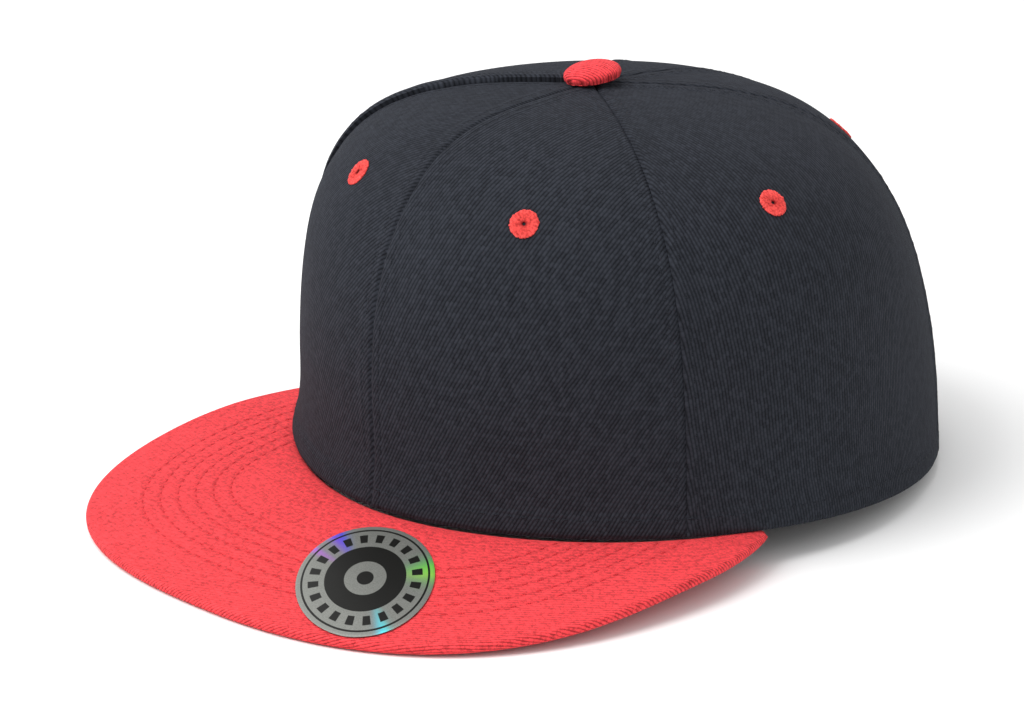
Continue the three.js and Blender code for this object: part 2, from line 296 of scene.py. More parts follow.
# %% [markdown]
# Twill is a weave whose yarns float over several others, each row one step further on. The steps line up as slanted
# ribs. A photograph of cloth would do for a picture, but nodes stay sharp at any size: one wave across the ribs, short
# rounded floats along each rib, and noise for the fibres. The group reads millimetres of cloth, so that one rib has
# its real pitch wherever it is used.

# %% Twill weave group
def twill_group():
    inputs = [
        ("Cloth", "Vector", None),
        ("Angle", "Float", 1.0),
        ("Pitch", "Float", 1.1),
        ("Float Length", "Float", 1.5),
    ]
    group, given, out = new_group("twill_weave", inputs, [("Height", "Float"), ("Tone", "Float")])
    waver = place(group, "ShaderNodeTexNoise", {"Vector": given["Cloth"], "Scale": 0.11, "Detail": 2.0})
    fuzz = place(group, "ShaderNodeTexNoise", {"Vector": given["Cloth"], "Scale": 2.4, "Detail": 2.0})
    wander = place(group, "ShaderNodeVectorMath", {0: waver.outputs["Color"], 1: (0.5, 0.5, 0.5)}, operation="SUBTRACT")
    shake = place(group, "ShaderNodeVectorMath", {0: fuzz.outputs["Color"], 1: (0.5, 0.5, 0.5)}, operation="SUBTRACT")
    wide = place(group, "ShaderNodeVectorMath", {0: wander.outputs[0], "Scale": 0.8}, operation="SCALE")
    fine = place(group, "ShaderNodeVectorMath", {0: shake.outputs[0], "Scale": 0.2}, operation="SCALE")
    moved = place(group, "ShaderNodeVectorMath", {0: given["Cloth"], 1: wide.outputs[0]}, operation="ADD")
    moved = place(group, "ShaderNodeVectorMath", {0: moved.outputs[0], 1: fine.outputs[0]}, operation="ADD")
    turned = place(
        group, "ShaderNodeVectorRotate", {"Vector": moved.outputs[0], "Angle": given["Angle"]},
        rotation_type="Z_AXIS", invert=True,
    )
    parts = place(group, "ShaderNodeSeparateXYZ", {0: turned.outputs[0]})
    across = maths(group, "DIVIDE", parts.outputs["Y"], given["Pitch"])
    rib = maths(group, "FLOOR", across)
    round_rib = maths(group, "SINE", maths(group, "MULTIPLY", maths(group, "FRACT", across), math.pi))
    along = maths(group, "DIVIDE", parts.outputs["X"], given["Float Length"])
    stepped = maths(group, "ADD", along, maths(group, "MULTIPLY", rib, 0.37))
    round_float = maths(group, "SINE", maths(group, "MULTIPLY", maths(group, "FRACT", stepped), math.pi))
    round_float = maths(group, "POWER", round_float, 0.5)
    spot = place(group, "ShaderNodeCombineXYZ", {0: rib, 1: maths(group, "FLOOR", stepped)})
    yarn = place(group, "ShaderNodeTexWhiteNoise", {"Vector": spot.outputs[0]})
    body = maths(group, "MULTIPLY", round_rib, maths(group, "MULTIPLY_ADD", round_float, 0.45, 0.55))
    fibre = place(group, "ShaderNodeTexNoise", {"Vector": given["Cloth"], "Scale": 7.0, "Detail": 3.0})
    height = maths(group, "MULTIPLY_ADD", fibre.outputs["Fac"], 0.35, body)
    group.links.new(height, out["Height"])
    # Tone: painted shade in the hollows between ribs and floats (from body), plus random yarn and fibre tone.
    tone = maths(group, "MULTIPLY_ADD", yarn.outputs["Value"], 0.3, maths(group, "MULTIPLY", body, 0.6))
    tone = maths(group, "MULTIPLY_ADD", fibre.outputs["Fac"], 0.25, tone)
    group.links.new(maths(group, "SUBTRACT", tone, 0.08, clamp=True), out["Tone"])
    return group


TWILL = twill_group()
print("weave group:", TWILL.name)

# %% [markdown]
# Crown cloth: a dense wool-like twill, near black with a blue cast. Each panel's cloth has its own flat pattern map in
# millimetres, so that the ribs run as the panel was cut and bend with it on the head.

# %% Crown twill
PATTERN = "pattern_mm"
# The gap colour is painted shade: the colour the tone falls to, mostly in the hollows between ribs and floats.
CROWN_GAP_SHADE = (0.0022, 0.0025, 0.0036, 1)
CROWN_YARN = (0.0345, 0.0385, 0.0495, 1)


def crown_twill(name, rib_angle):
    material, tree, shader = new_material(
        name, Roughness=0.88, Specular_IOR_Level=0.1, Sheen_Weight=0.02, Sheen_Roughness=0.5,
        Sheen_Tint=(0.75, 0.8, 1, 1),
    )
    cloth = place(tree, "ShaderNodeUVMap", uv_map=PATTERN).outputs[0]
    weave = use_group(tree, TWILL, {"Cloth": cloth, "Angle": math.radians(rib_angle), "Pitch": 0.98})
    spread = place(tree, "ShaderNodeTexNoise", {"Vector": cloth, "Scale": 0.035, "Detail": 3.0})
    lively = maths(tree, "MULTIPLY_ADD", spread.outputs["Fac"], 0.25, 0.84)
    colour = blend(tree, maths(tree, "MULTIPLY", weave["Tone"], lively, clamp=True), CROWN_GAP_SHADE, CROWN_YARN)
    tree.links.new(colour, shader.inputs["Base Color"])
    bump = place(tree, "ShaderNodeBump", {"Height": weave["Height"], "Strength": 0.75, "Distance": 0.22 * MM})
    tree.links.new(bump.outputs[0], shader.inputs["Normal"])
    return material


# %% [markdown]
# A panel is cut flat from the cloth, so its map should be the flat pattern piece itself. Unwrapping the sheet gives
# that shape, with little stretch because a panel bends gently. It only has to be turned upright and scaled to
# millimetres.

# %% A sheet of cloth from a packed panel
SUBSURF_LEVELS = 3


def copy_of(node, name):
    """A merged, quad-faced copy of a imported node, to be worked on."""
    piece = bpy.data.objects.new(name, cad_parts[node].data.copy())
    bpy.context.scene.collection.objects.link(piece)
    piece.data.materials.clear()
    for layer in list(piece.data.uv_layers):
        piece.data.uv_layers.remove(layer)
    piece.data.normals_split_custom_set([(0, 0, 0)] * len(piece.data.loops))
    choose(piece, "vertices", lambda vertex: True)
    edit(
        piece,
        lambda: bpy.ops.mesh.remove_doubles(threshold=0.01 * MM),
        lambda: bpy.ops.mesh.tris_convert_to_quads(face_threshold=math.radians(60), shape_threshold=math.radians(80)),
        lambda: bpy.ops.mesh.faces_shade_smooth(),
    )
    return piece


button_low, button_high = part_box("top_button")
TOP = (button_low + button_high) / 2
HOLLOW = Vector((0, (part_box("sweatband")[0].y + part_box("sweatband")[1].y) / 2, 0))


def outer_sheet(node, name):
    """The outside of a packed panel, as one sheet of faces."""
    piece = copy_of(node, name)
    inward = lambda face: face.normal.dot((face.center - HOLLOW).normalized()) < 0.55
    choose(piece, "polygons", inward)
    edit(piece, lambda: bpy.ops.mesh.delete(type="FACE"))
    return piece


def open_sides(obj):
    """The four sides of a sheet, each a row of vertex numbers: rim, top, ahead and behind."""
    mesh = obj.data
    edge_of = np.empty(len(mesh.loops), np.int32)
    mesh.loops.foreach_get("edge_index", edge_of)
    ends = np.empty(2 * len(mesh.edges), np.int32)
    mesh.edges.foreach_get("vertices", ends)
    single = ends.reshape(-1, 2)[np.bincount(edge_of, minlength=len(mesh.edges)) == 1]
    beside = {}
    for a, b in single.tolist():
        beside.setdefault(a, []).append(b)
        beside.setdefault(b, []).append(a)
    loop = [single[0, 0].item()]
    came_from = None
    while True:
        onward = [v for v in beside[loop[-1]] if v != came_from][0]
        came_from = loop[-1]
        if onward == loop[0]:
            break
        loop.append(onward)
    points = places(obj)
    here = points[loop]
    into = here - np.roll(here, 1, 0)
    out = np.roll(here, -1, 0) - here
    cosine = (into * out).sum(1) / np.linalg.norm(into, axis=1) / np.linalg.norm(out, axis=1)
    corners = sorted(np.argsort(cosine)[:4].tolist())
    doubled = loop + loop
    stops = corners + [corners[0] + len(loop)]
    runs = [doubled[start : stop + 1] for start, stop in zip(stops, stops[1:])]
    runs.sort(key=lambda run: points[run, 2].mean())
    rim, between, top = runs[0], runs[1:3], runs[3]
    turned = lambda run: np.abs(np.arctan2(points[run, 0], HOLLOW.y - points[run, 1])).mean()
    ahead, behind = sorted(between, key=turned)
    return {"rim": rim, "top": top, "ahead": ahead, "behind": behind}


def lay_flat(obj):
    """Unwraps a sheet into its flat pattern, upright and in millimetres."""
    sides = open_sides(obj)
    obj.data.uv_layers.new(name=PATTERN)
    choose(obj, "polygons", lambda face: True)
    edit(obj, lambda: bpy.ops.uv.unwrap(method="ANGLE_BASED", margin=0))
    layer = obj.data.uv_layers[PATTERN]
    flat = np.empty(2 * len(obj.data.loops), np.float32)
    layer.uv.foreach_get("vector", flat)
    flat = flat.reshape(-1, 2).astype(float)
    where = {vertex: flat[corner] for corner, vertex in enumerate(corner_points(obj.data).tolist())}
    middle = lambda run: np.mean([where[vertex] for vertex in run], axis=0)
    upright = middle(sides["top"]) - middle(sides["rim"])
    upright /= np.linalg.norm(upright)
    points = places(obj)
    run = sides["ahead"]
    real = np.linalg.norm(np.diff(points[run], axis=0), axis=1).sum() / MM
    drawn = sum(np.linalg.norm(where[b] - where[a]) for a, b in zip(run, run[1:]))
    flat = (flat - middle(sides["rim"])) * real / drawn
    across = flat @ np.array([upright[1], -upright[0]])
    up = flat @ upright
    write_map(layer, np.stack([across, up], 1))
    return np.ptp(across), np.ptp(up)


# %% [markdown]
# Where two panels meet, their edges are turned in and sewn down 3 mm each side of the seam. What the eye reads is a
# sharp groove, a slightly raised band over the turned-in cloth, and a fine dip along the stitches. The rim has the
# same with one row of stitches. The mesh gets closer rows of faces there first, so that the relief is real. The side
# panels are sewn over the front ones, so their leading edge stands proud, and most so high up on the right, where the
# turned-in cloth is bunched into a ridge.

# %% Seams and hems as relief
SEAM_ROW = 3.2
HEM_ROW = 5.8
SEAM_MEET = 0.25
CLOTH_WALL = 1.7 * MM
GROOVE_DEPTH, GROOVE_WIDTH = 0.6, 0.55
HEM_GROOVE_DEPTH, HEM_GROOVE_WIDTH = 0.7, 0.8
HEM_BAND = 0.3
DIP_DEPTH, DIP_WIDTH = 0.16, 0.5
PUCKER_DEPTH, PUCKER_SIZE = 0.12, 5.5
SWELL_DEPTH, SWELL_SIZE = 0.35, 38


def finer_near(obj, side_names, reach):
    """Doubles the rows of faces that cross the ends of the named sides, within a reach in millimetres of a corner."""
    sides = open_sides(obj)
    points = places(obj)
    pairs = set()
    for name in side_names:
        run = sides[name]
        gone = np.concatenate([[0], np.cumsum(np.linalg.norm(np.diff(points[run], axis=0), axis=1))]) / MM
        for a, b, length in zip(run, run[1:], gone):
            near_start = length < reach
            near_end = gone[-1] - length < reach
            wanted = near_start or near_end if name in ("rim", "top") else (
                near_start if points[run[0], 2] < points[run[-1], 2] else near_end)
            if wanted:
                pairs.add(frozenset((a, b)))
    choose(obj, "edges", lambda edge: frozenset(edge.vertices) in pairs)
    edit(
        obj,
        lambda: bpy.ops.mesh.loop_multi_select(ring=True),
        lambda: bpy.ops.mesh.subdivide_edgering(number_cuts=1, interpolation="LINEAR", smoothness=0),
    )


def beside(obj, run):
    """For each point of a side, the direction on the sheet that leads away from that side."""
    points, out = places(obj)[run], facings(obj)[run]
    inward = np.cross(out, np.gradient(points, axis=0))
    inward /= np.linalg.norm(inward, axis=1)[:, None]
    towards_middle = (inward * (places(obj).mean(0) - points)).sum()
    return inward if towards_middle > 0 else -inward


def relief(points, sides, raised_ahead, raised_behind):
    """How far each point of a panel stands out or lies in, in millimetres."""
    from_side = {name: nearest_on_line(points, points[run]) / MM for name, run in sides.items() if name != "top"}
    ahead, behind, rim = from_side["ahead"], from_side["behind"], from_side["rim"]
    seam = np.minimum(ahead, behind)
    groove = np.maximum(
        GROOVE_DEPTH * hill(seam, 0, GROOVE_WIDTH), HEM_GROOVE_DEPTH * hill(rim, 0, HEM_GROOVE_WIDTH)
    )
    band_end = SEAM_ROW + 0.3
    band = np.maximum(raised_ahead * (1 - ramp(ahead, band_end, band_end + 1.6 + 2.6 * raised_ahead)),
                      raised_behind * (1 - ramp(behind, band_end, band_end + 1.6)))
    band = np.maximum(band, HEM_BAND * (1 - ramp(rim, HEM_ROW + 0.2, HEM_ROW + 1.6)))
    dip = DIP_DEPTH * np.maximum(hill(seam, SEAM_ROW, DIP_WIDTH), hill(rim, HEM_ROW, DIP_WIDTH))
    near_rows = np.maximum(hill(seam, 3, 3), 0.8 * hill(rim, 5, 5))
    pucker = PUCKER_DEPTH * murmur(points, PUCKER_SIZE * MM, 1) * near_rows
    swell = SWELL_DEPTH * murmur(points, SWELL_SIZE * MM, 2)
    return band - groove - dip + pucker + swell


# %% Six crown panels
PANELS = {"front": 60, "side": 88, "back": 66}
RAISED_AHEAD = {"front": (0.3, 0.3), "side": (0.4, 1.9), "back": (0.3, 0.3)}
RAISED_BEHIND = {"front": 0.12, "side": 0.3, "back": 0.3}


def keep_inner_corner(obj):
    """Creases the point where a back panel's arch meets its rear seam, so that smoothing keeps the corner."""
    points = places(obj)
    run = open_sides(obj)["behind"]
    step = np.diff(points[run], axis=0)
    step /= np.linalg.norm(step, axis=1)[:, None]
    cosine = (step[1:] * step[:-1]).sum(1)
    if cosine.min() < 0.7:
        crease = obj.data.attributes.new("crease_vert", "FLOAT", "POINT")
        crease.data[run[1 + int(cosine.argmin())]].value = 1


def crown_panel(which, side):
    node = f"panel_{which}_{side}"
    panel = outer_sheet(node, f"crown_{which}_{side}")
    width, length = lay_flat(panel)
    keep_inner_corner(panel)
    modify(
        panel, "SUBSURF", levels=SUBSURF_LEVELS, render_levels=SUBSURF_LEVELS, boundary_smooth="PRESERVE_CORNERS"
    )
    finer_near(panel, ["rim"], 8)
    finer_near(panel, ["rim"], 4)
    finer_near(panel, ["ahead", "behind"], 9)
    sides = open_sides(panel)
    points = places(panel)
    near_rim, raised = RAISED_AHEAD[which] if side == "right" else RAISED_AHEAD[which][:1] * 2
    raised_ahead = near_rim + (raised - near_rim) * ramp(points[:, 2], 0.3 * TOP.z, 0.65 * TOP.z)
    height = relief(points, sides, raised_ahead, RAISED_BEHIND[which])
    formed = points + facings(panel) * height[:, None] * MM
    for name in ("ahead", "behind"):
        formed[sides[name]] -= beside(panel, sides[name]) * SEAM_MEET * MM
    move_to(panel, formed)
    panel["sides"] = {name: run for name, run in sides.items()}
    print(f"{panel.name}: pattern {width:.0f} x {length:.0f} mm, {len(panel.data.polygons)} faces")
    return panel


panels = {}
for which, rib_angle in PANELS.items():
    cloth = crown_twill(f"crown_twill_{which}", rib_angle)
    for side in ("left", "right"):
        panel = crown_panel(which, side)
        panel.data.materials.append(cloth)
        panels[which, side] = panel

# %% [markdown]
# Topstitching holds each seam flat. One stitch is a short thread that dives into the cloth at both ends. It is
# modelled once, from a small sphere drawn out along the seam, and arrays of its points are laid at every spot and
# joined into one mesh for each side of the cap. Each point also remembers where it is on the thread, so that the
# material can wind the plies round it.

# %% One stitch, and how a row of them is laid
STITCH_LENGTH = 3.1
STITCH_SPACE = 0.75
STITCH_WIDTH = 0.6
STITCH_SINK = 0.35

bpy.ops.object.select_all(action="DESELECT")
bpy.ops.mesh.primitive_uv_sphere_add(segments=8, ring_count=6, radius=0.5 * MM)
stitch = bpy.context.object
choose(stitch, "vertices", lambda vertex: True)
edit(
    stitch,
    lambda: bpy.ops.transform.rotate(value=math.pi / 2, orient_axis="Y", center_override=(0, 0, 0)),
    lambda: bpy.ops.transform.resize(value=(STITCH_LENGTH, STITCH_WIDTH, STITCH_WIDTH * 0.8)),
)
stitch_points = places(stitch)
stitch_points[:, 2] -= STITCH_SINK * MM * (np.abs(stitch_points[:, 0]) / (STITCH_LENGTH / 2 * MM)) ** 3
stitch_faces = [list(face.vertices) for face in stitch.data.polygons]
bpy.data.objects.remove(stitch)
print("one stitch:", len(stitch_faces), "faces")


def spots_along(line, lift, surface, pitch=STITCH_LENGTH + STITCH_SPACE):
    """Evenly spaced spots on a surface along a line: place, direction and facing of each stitch."""
    line = np.asarray(line)
    gone = np.concatenate([[0], np.cumsum(np.linalg.norm(np.diff(line, axis=0), axis=1))])
    count = int(gone[-1] / (pitch * MM))
    middles = (np.arange(count) + 0.5) * gone[-1] / max(count, 1)
    at = lambda wanted: np.array([np.interp(wanted, gone, line[:, axis]) for axis in range(3)])
    spots = []
    for middle in middles:
        place_here, facing, _, _ = surface.find_nearest(Vector(at(middle)))
        step = Vector(at(middle + 0.4 * MM) - at(middle - 0.4 * MM))
        step -= facing * step.dot(facing)
        spots.append((place_here + facing * lift, step.normalized(), facing))
    return spots


def lay_stitches(name, spots, material):
    """Joins one stitch for each spot into a mesh."""
    points, faces, thread = [], [], []
    local = np.stack([stitch_points[:, 0] / MM, np.arctan2(stitch_points[:, 2], stitch_points[:, 1]) / math.tau], 1)
    for number, (spot, along, facing) in enumerate(spots):
        sideways = facing.cross(along)
        turn = np.array([along, sideways, facing])
        points.append(stitch_points @ turn + np.array(spot))
        faces += [[vertex + number * len(stitch_points) for vertex in face] for face in stitch_faces]
        thread.append(local + [number * 0.37, 0])
    mesh = bpy.data.meshes.new(name)
    mesh.from_pydata(np.concatenate(points).tolist(), [], faces)
    write_map(mesh.uv_layers.new(name=PATTERN), np.concatenate(thread)[corner_points(mesh)])
    made = bpy.data.objects.new(name, mesh)
    bpy.context.scene.collection.objects.link(made)
    mesh.materials.append(material)
    smooth(made)
    return made


# %% [markdown]
# Sewing thread is two or three plies wound round each other, with a silky gloss. The winding is a slanted wave along
# the thread, and the colour runs from dark in the hollows between plies to light on their crests, a painted shade.

# %% Thread finish
def ply_group():
    group, given, out = new_group("wound_plies", [("Thread", "Vector", None)], [("Height", "Float")])
    parts = place(group, "ShaderNodeSeparateXYZ", {0: given["Thread"]})
    wound = maths(group, "MULTIPLY_ADD", parts.outputs["X"], 1.6, parts.outputs["Y"])
    wave = maths(group, "SINE", maths(group, "MULTIPLY", maths(group, "FRACT", wound), math.pi))
    group.links.new(wave, out["Height"])
    return group


PLIES = ply_group()


def thread_finish(name, dark, light):
    material, tree, shader = new_material(
        name, Roughness=0.65, Specular_IOR_Level=0.08, Sheen_Weight=0.02, Sheen_Roughness=0.4
    )
    thread = place(tree, "ShaderNodeUVMap", uv_map=PATTERN).outputs[0]
    plies = use_group(tree, PLIES, {"Thread": thread})
    tree.links.new(blend(tree, plies["Height"], dark, light), shader.inputs["Base Color"])
    bump = place(tree, "ShaderNodeBump", {"Height": plies["Height"], "Strength": 0.6, "Distance": 0.1 * MM})
    tree.links.new(bump.outputs[0], shader.inputs["Normal"])
    return material


crown_thread = thread_finish("crown_thread", (0.006, 0.0068, 0.009, 1), (0.019, 0.0212, 0.028, 1))
# The peak thread is darker than the cloth: partly a darker red thread, partly painted shade of stitches sunk in it.
peak_thread = thread_finish("peak_thread", (0.26, 0.009, 0.013, 1), (0.66, 0.034, 0.042, 1))

# %% Stitches of the crown
BUTTON_COVER = (button_high.x - button_low.x) / 2


def surface_of(obj):
    return BVHTree.FromPolygons([tuple(point) for point in places(obj)], [list(p.vertices) for p in obj.data.polygons])


def inner_row(panel, side_name, distance):
    """The line on a panel that runs beside one of its sides, a distance in millimetres away."""
    run = list(panel["sides"][side_name])
    return places(panel)[run] + beside(panel, run) * distance * MM


def crown_rows(panel):
    surface = surface_of(panel)
    spots = []
    for side_name, distance in (("ahead", SEAM_ROW), ("behind", SEAM_ROW), ("rim", HEM_ROW)):
        line = inner_row(panel, side_name, distance)
        beside_top = np.linalg.norm(line[:, :2] - np.array(TOP)[:2], axis=1) < BUTTON_COVER
        spots += spots_along(line[~beside_top], -0.1 * MM, surface)
    return spots


crown_stitches = []
for (which, side), panel in panels.items():
    made = lay_stitches(f"topstitch_{which}_{side}", crown_rows(panel), crown_thread)
    crown_stitches.append(made)
print("crown stitches:", sum(len(made.data.polygons) for made in crown_stitches) // len(stitch_faces))

for (which, side), panel in panels.items():
    del panel["sides"]
    modify(panel, "SOLIDIFY", thickness=CLOTH_WALL, offset=-1, use_even_offset=True)
    smooth(panel, 60)
    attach(panel, "root")
    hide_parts(f"panel_{which}_{side}")
for made in crown_stitches:
    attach(made, "root")

# %% [markdown]
# The peak is a stiff board covered with bright coral twill on both faces, with six rows of stitching that follow its
# edge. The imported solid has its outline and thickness, so a subdivided copy of it is the form. The rows are found by
# stepping inwards from the outline seen from above.

# %% Peak form
ROW_FIRST = 16.1
ROW_SPACING = 5.0
ROW_COUNT = 6
PEAK_ROWS = [ROW_FIRST + ROW_SPACING * row for row in range(ROW_COUNT)]

peak = copy_of("peak", "peak_board")
modify(peak, "SUBSURF", levels=2, render_levels=2)
smooth(peak)
cad_peak = places(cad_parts["peak"])
hull = convex_hull_2d([Vector(point[:2]) for point in cad_peak])
outline = cad_peak[hull][:, :2]
steps = np.linalg.norm(np.roll(outline, -1, 0) - outline, axis=1)
outline = np.roll(outline, -1 - int(steps.argmax()), axis=0)
print("peak outline:", len(outline), "points,", round(steps.sum() / MM), "mm round")


def from_lip(points):
    return nearest_on_line(points[:, :2], outline) / MM


lip_distance = peak.data.attributes.new("lip_mm", "FLOAT", "POINT")
lip_distance.data.foreach_set("value", from_lip(places(peak)).astype(np.float32))


def peak_row(distance):
    """The line a distance in millimetres inside the peak's lip, in plan."""
    gone = np.concatenate([[0], np.cumsum(np.linalg.norm(np.diff(outline, axis=0), axis=1))])
    even = np.arange(0, gone[-1], 1.5 * MM)
    line = np.stack([np.interp(even, gone, outline[:, axis]) for axis in range(2)], 1)
    along = np.gradient(line, axis=0)
    along /= np.linalg.norm(along, axis=1)[:, None]
    inward = np.stack([-along[:, 1], along[:, 0]], 1)
    if (inward * (outline.mean(0) - line)).sum() < 0:
        inward = -inward
    moved = line + inward * distance * MM
    return moved[from_lip(moved) > distance - 0.3]


# %% [markdown]
# The peak's cloth is the same kind of weave in red. Its ribs are finer than the eye sees on the flat, where they read
# as a grain, but they stand out where the cloth wraps over the edge, where the gaps between ribs are darkened further
# as painted shade. So the cloth map is the plan in millimetres on the flat, and goes on past the edge by the length of
# the curve that the cloth follows. Each stitch row draws the cloth in a little, which the material adds as a dip in the
# bump and as a painted shade along the row, from the distance to the lip that every point carries.

# %% Peak cloth map
PEAK_HALF = 1.6
UNDERSIDE_FACING = -0.7
BEND_FROM, BEND_TO = 0.14, 0.8


def peak_map(obj):
    """The plan in millimetres, drawn out over the rounded edge. The underside has its own cloth.

    Every point also gets how far it is over the edge, where the bend opens the gaps between ribs, painted darker.
    """
    mesh = obj.data
    points, out = places(obj), facings(obj)
    level = np.maximum(np.hypot(out[:, 0], out[:, 1]), 1e-9)
    tilt = np.arctan2(level, out[:, 2])
    plan = points[:, :2] / MM
    wrapped = plan + out[:, :2] / level[:, None] * (PEAK_HALF * (tilt - np.sin(tilt)))[:, None]
    vertex_of = corner_points(mesh)
    face_up = np.empty(3 * len(mesh.polygons), np.float32)
    mesh.polygons.foreach_get("normal", face_up)
    corners = np.empty(len(mesh.polygons), np.int32)
    mesh.polygons.foreach_get("loop_total", corners)
    under = np.repeat(face_up.reshape(-1, 3)[:, 2] < UNDERSIDE_FACING, corners)
    cloth = np.where(under[:, None], plan[vertex_of], wrapped[vertex_of])
    write_map(mesh.uv_layers.new(name=PATTERN), cloth)
    bend = mesh.attributes.new("over_edge", "FLOAT", "POINT")
    bend.data.foreach_set("value", ramp(tilt, BEND_FROM, BEND_TO).astype(np.float32))


peak_map(peak)
print("peak cloth map over", len(peak.data.polygons), "faces")

# %% Peak twill
# PEAK_SHADE: the dark end of the tone, for painted shade in rib hollows, lip gaps and rows, and darker grain specks.
PEAK_SHADE = (0.15, 0.003, 0.005, 1)
PEAK_RED = (0.93, 0.065, 0.076, 1)


def rows_group():
    group, given, out = new_group("sewn_rows", [("Distance", "Float", 0.0)], [("Dip", "Float")])
    counted = maths(group, "DIVIDE", maths(group, "SUBTRACT", given["Distance"], ROW_FIRST), ROW_SPACING)
    row = maths(group, "MAXIMUM", maths(group, "MINIMUM", maths(group, "ROUND", counted), ROW_COUNT - 1.0), 0.0)
    off = maths(group, "MULTIPLY", maths(group, "SUBTRACT", counted, row), ROW_SPACING * 1.3)
    square = maths(group, "MULTIPLY", off, off)
    group.links.new(maths(group, "EXPONENT", maths(group, "MULTIPLY", square, -1.0)), out["Dip"])
    return group


ROWS = rows_group()


def red_twill(name, rib_angle, pitch, with_rows, rib_share):
    material, tree, shader = new_material(
        name, Roughness=0.8, Specular_IOR_Level=0.15, Sheen_Weight=0.05, Sheen_Roughness=0.4,
        Sheen_Tint=(1, 0.6, 0.6, 1),
    )
    cloth = place(tree, "ShaderNodeUVMap", uv_map=PATTERN).outputs[0]
    weave = use_group(
        tree, TWILL, {"Cloth": cloth, "Angle": math.radians(rib_angle), "Pitch": pitch, "Float Length": 1.3}
    )
    grain = place(tree, "ShaderNodeTexNoise", {"Vector": cloth, "Scale": 0.75, "Detail": 4.0, "Roughness": 0.8})
    spread = place(tree, "ShaderNodeTexNoise", {"Vector": cloth, "Scale": 0.03, "Detail": 2.0})
    speck = place(tree, "ShaderNodeMapRange", {"Value": grain.outputs["Fac"], 1: 0.35, 2: 0.65})
    ribs = maths(tree, "MULTIPLY_ADD", weave["Tone"], rib_share, 0.8 - rib_share * 0.5)
    tone = maths(tree, "MULTIPLY", ribs, maths(tree, "MULTIPLY_ADD", speck.outputs[0], 0.9, 0.35))
    tone = maths(tree, "MULTIPLY_ADD", spread.outputs["Fac"], 0.25, tone, clamp=True)
    bend = place(tree, "ShaderNodeAttribute", attribute_name="over_edge").outputs["Fac"]
    # Painted shade: over the edge the gaps between ribs are darkened, most where the weave's tone is low.
    gaps = maths(tree, "SUBTRACT", 0.6, maths(tree, "MULTIPLY", weave["Tone"], 1.2), clamp=True)
    tone = maths(tree, "MULTIPLY", tone, maths(tree, "SUBTRACT", 1.0, maths(tree, "MULTIPLY", gaps, bend)))
    height = weave["Height"]
    if with_rows:
        distance = place(tree, "ShaderNodeAttribute", attribute_name="lip_mm").outputs["Fac"]
        dip = use_group(tree, ROWS, {"Distance": distance})["Dip"]
        height = maths(tree, "MULTIPLY_ADD", dip, -1.1, height)
        # Painted shade along each stitch row, where the cloth dips.
        tone = maths(tree, "MULTIPLY", tone, maths(tree, "MULTIPLY_ADD", dip, -0.14, 1.0))
    tree.links.new(blend(tree, tone, PEAK_SHADE, PEAK_RED), shader.inputs["Base Color"])
    bump = place(tree, "ShaderNodeBump", {"Height": height, "Strength": 0.8, "Distance": 0.3 * MM})
    tree.links.new(bump.outputs[0], shader.inputs["Normal"])
    return material


peak.data.materials.append(red_twill("peak_twill", 46, 0.95, with_rows=True, rib_share=1.3))
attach(peak, "root")
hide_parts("peak")

# %% Stitches of the peak
PEAK_STITCH_PITCH = 4.6
peak_surface = surface_of(peak)
crown_surfaces = [surface_of(panel) for panel in panels.values()]


def clear_of_crown(x, y):
    """Whether a spot on the peak shows from above, in front of the crown."""
    above = Vector((x, y, 1))
    return all(surface.ray_cast(above, Vector((0, 0, -1)))[0] is None for surface in crown_surfaces)


def row_spots(distance, from_z, down):
    """Spots of one row on the peak's top or underside."""
    line = peak_row(distance)
    hits = [peak_surface.ray_cast(Vector((x, y, from_z)), Vector((0, 0, down))) for x, y in line]
    shown = [hit[0] is not None and clear_of_crown(*point) for hit, point in zip(hits, line)]
    line = [hit[0] for hit, seen in zip(hits, shown) if seen]
    return spots_along(line, -0.04 * MM, peak_surface, pitch=PEAK_STITCH_PITCH)


for name, from_z, down in (("peak_stitches_top", 0.2, -1), ("peak_stitches_under", -0.2, 1)):
    spots = [spot for distance in PEAK_ROWS for spot in row_spots(distance, from_z, down)]
    made = lay_stitches(name, spots, peak_thread)
    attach(made, "root")
    print(name, len(spots))

# %% [markdown]
# The button on top is a tin shell covered with the red twill. The cloth is gathered under it, which draws small folds
# round its lower edge. It starts as a sphere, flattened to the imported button's size, with its lower half cut away.
# It is made upright round its seat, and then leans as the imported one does, towards the wearer's front right.

# %% Button
BUTTON_REACH = 8.35
BUTTON_HEIGHT = 4.9
BUTTON_SEAT = (0, 19.8, 117.8)
BUTTON_LEAN = 8
BUTTON_LEAN_TURN = -44
FOLDS = 15
FOLD_DEPTH = 0.25

bpy.ops.object.select_all(action="DESELECT")
bpy.ops.mesh.primitive_uv_sphere_add(segments=120, ring_count=60, radius=BUTTON_REACH * MM)
button = bpy.context.object
button.name = "button_cover"
choose(button, "vertices", lambda vertex: True)
edit(
    button,
    lambda: bpy.ops.mesh.bisect(
        plane_co=(0, 0, -0.35 * BUTTON_REACH * MM), plane_no=(0, 0, 1), clear_inner=True, use_fill=True
    ),
)
points = places(button)
share = (points[:, 2] - points[:, 2].min()) / np.ptp(points[:, 2])
reach = np.maximum(np.hypot(points[:, 0], points[:, 1]), 1e-9)
around = np.arctan2(points[:, 1], points[:, 0])
folds = 0.5 + 0.5 * np.sin(FOLDS * around + 1.3 * np.sin(3 * around))
shrunk = 1 - FOLD_DEPTH * MM * folds * (1 - ramp(share, 0.1, 0.6)) / reach * (share > 0)
upright = np.stack([points[:, 0] * shrunk, points[:, 1] * shrunk, share**0.92 * BUTTON_HEIGHT * MM], 1)
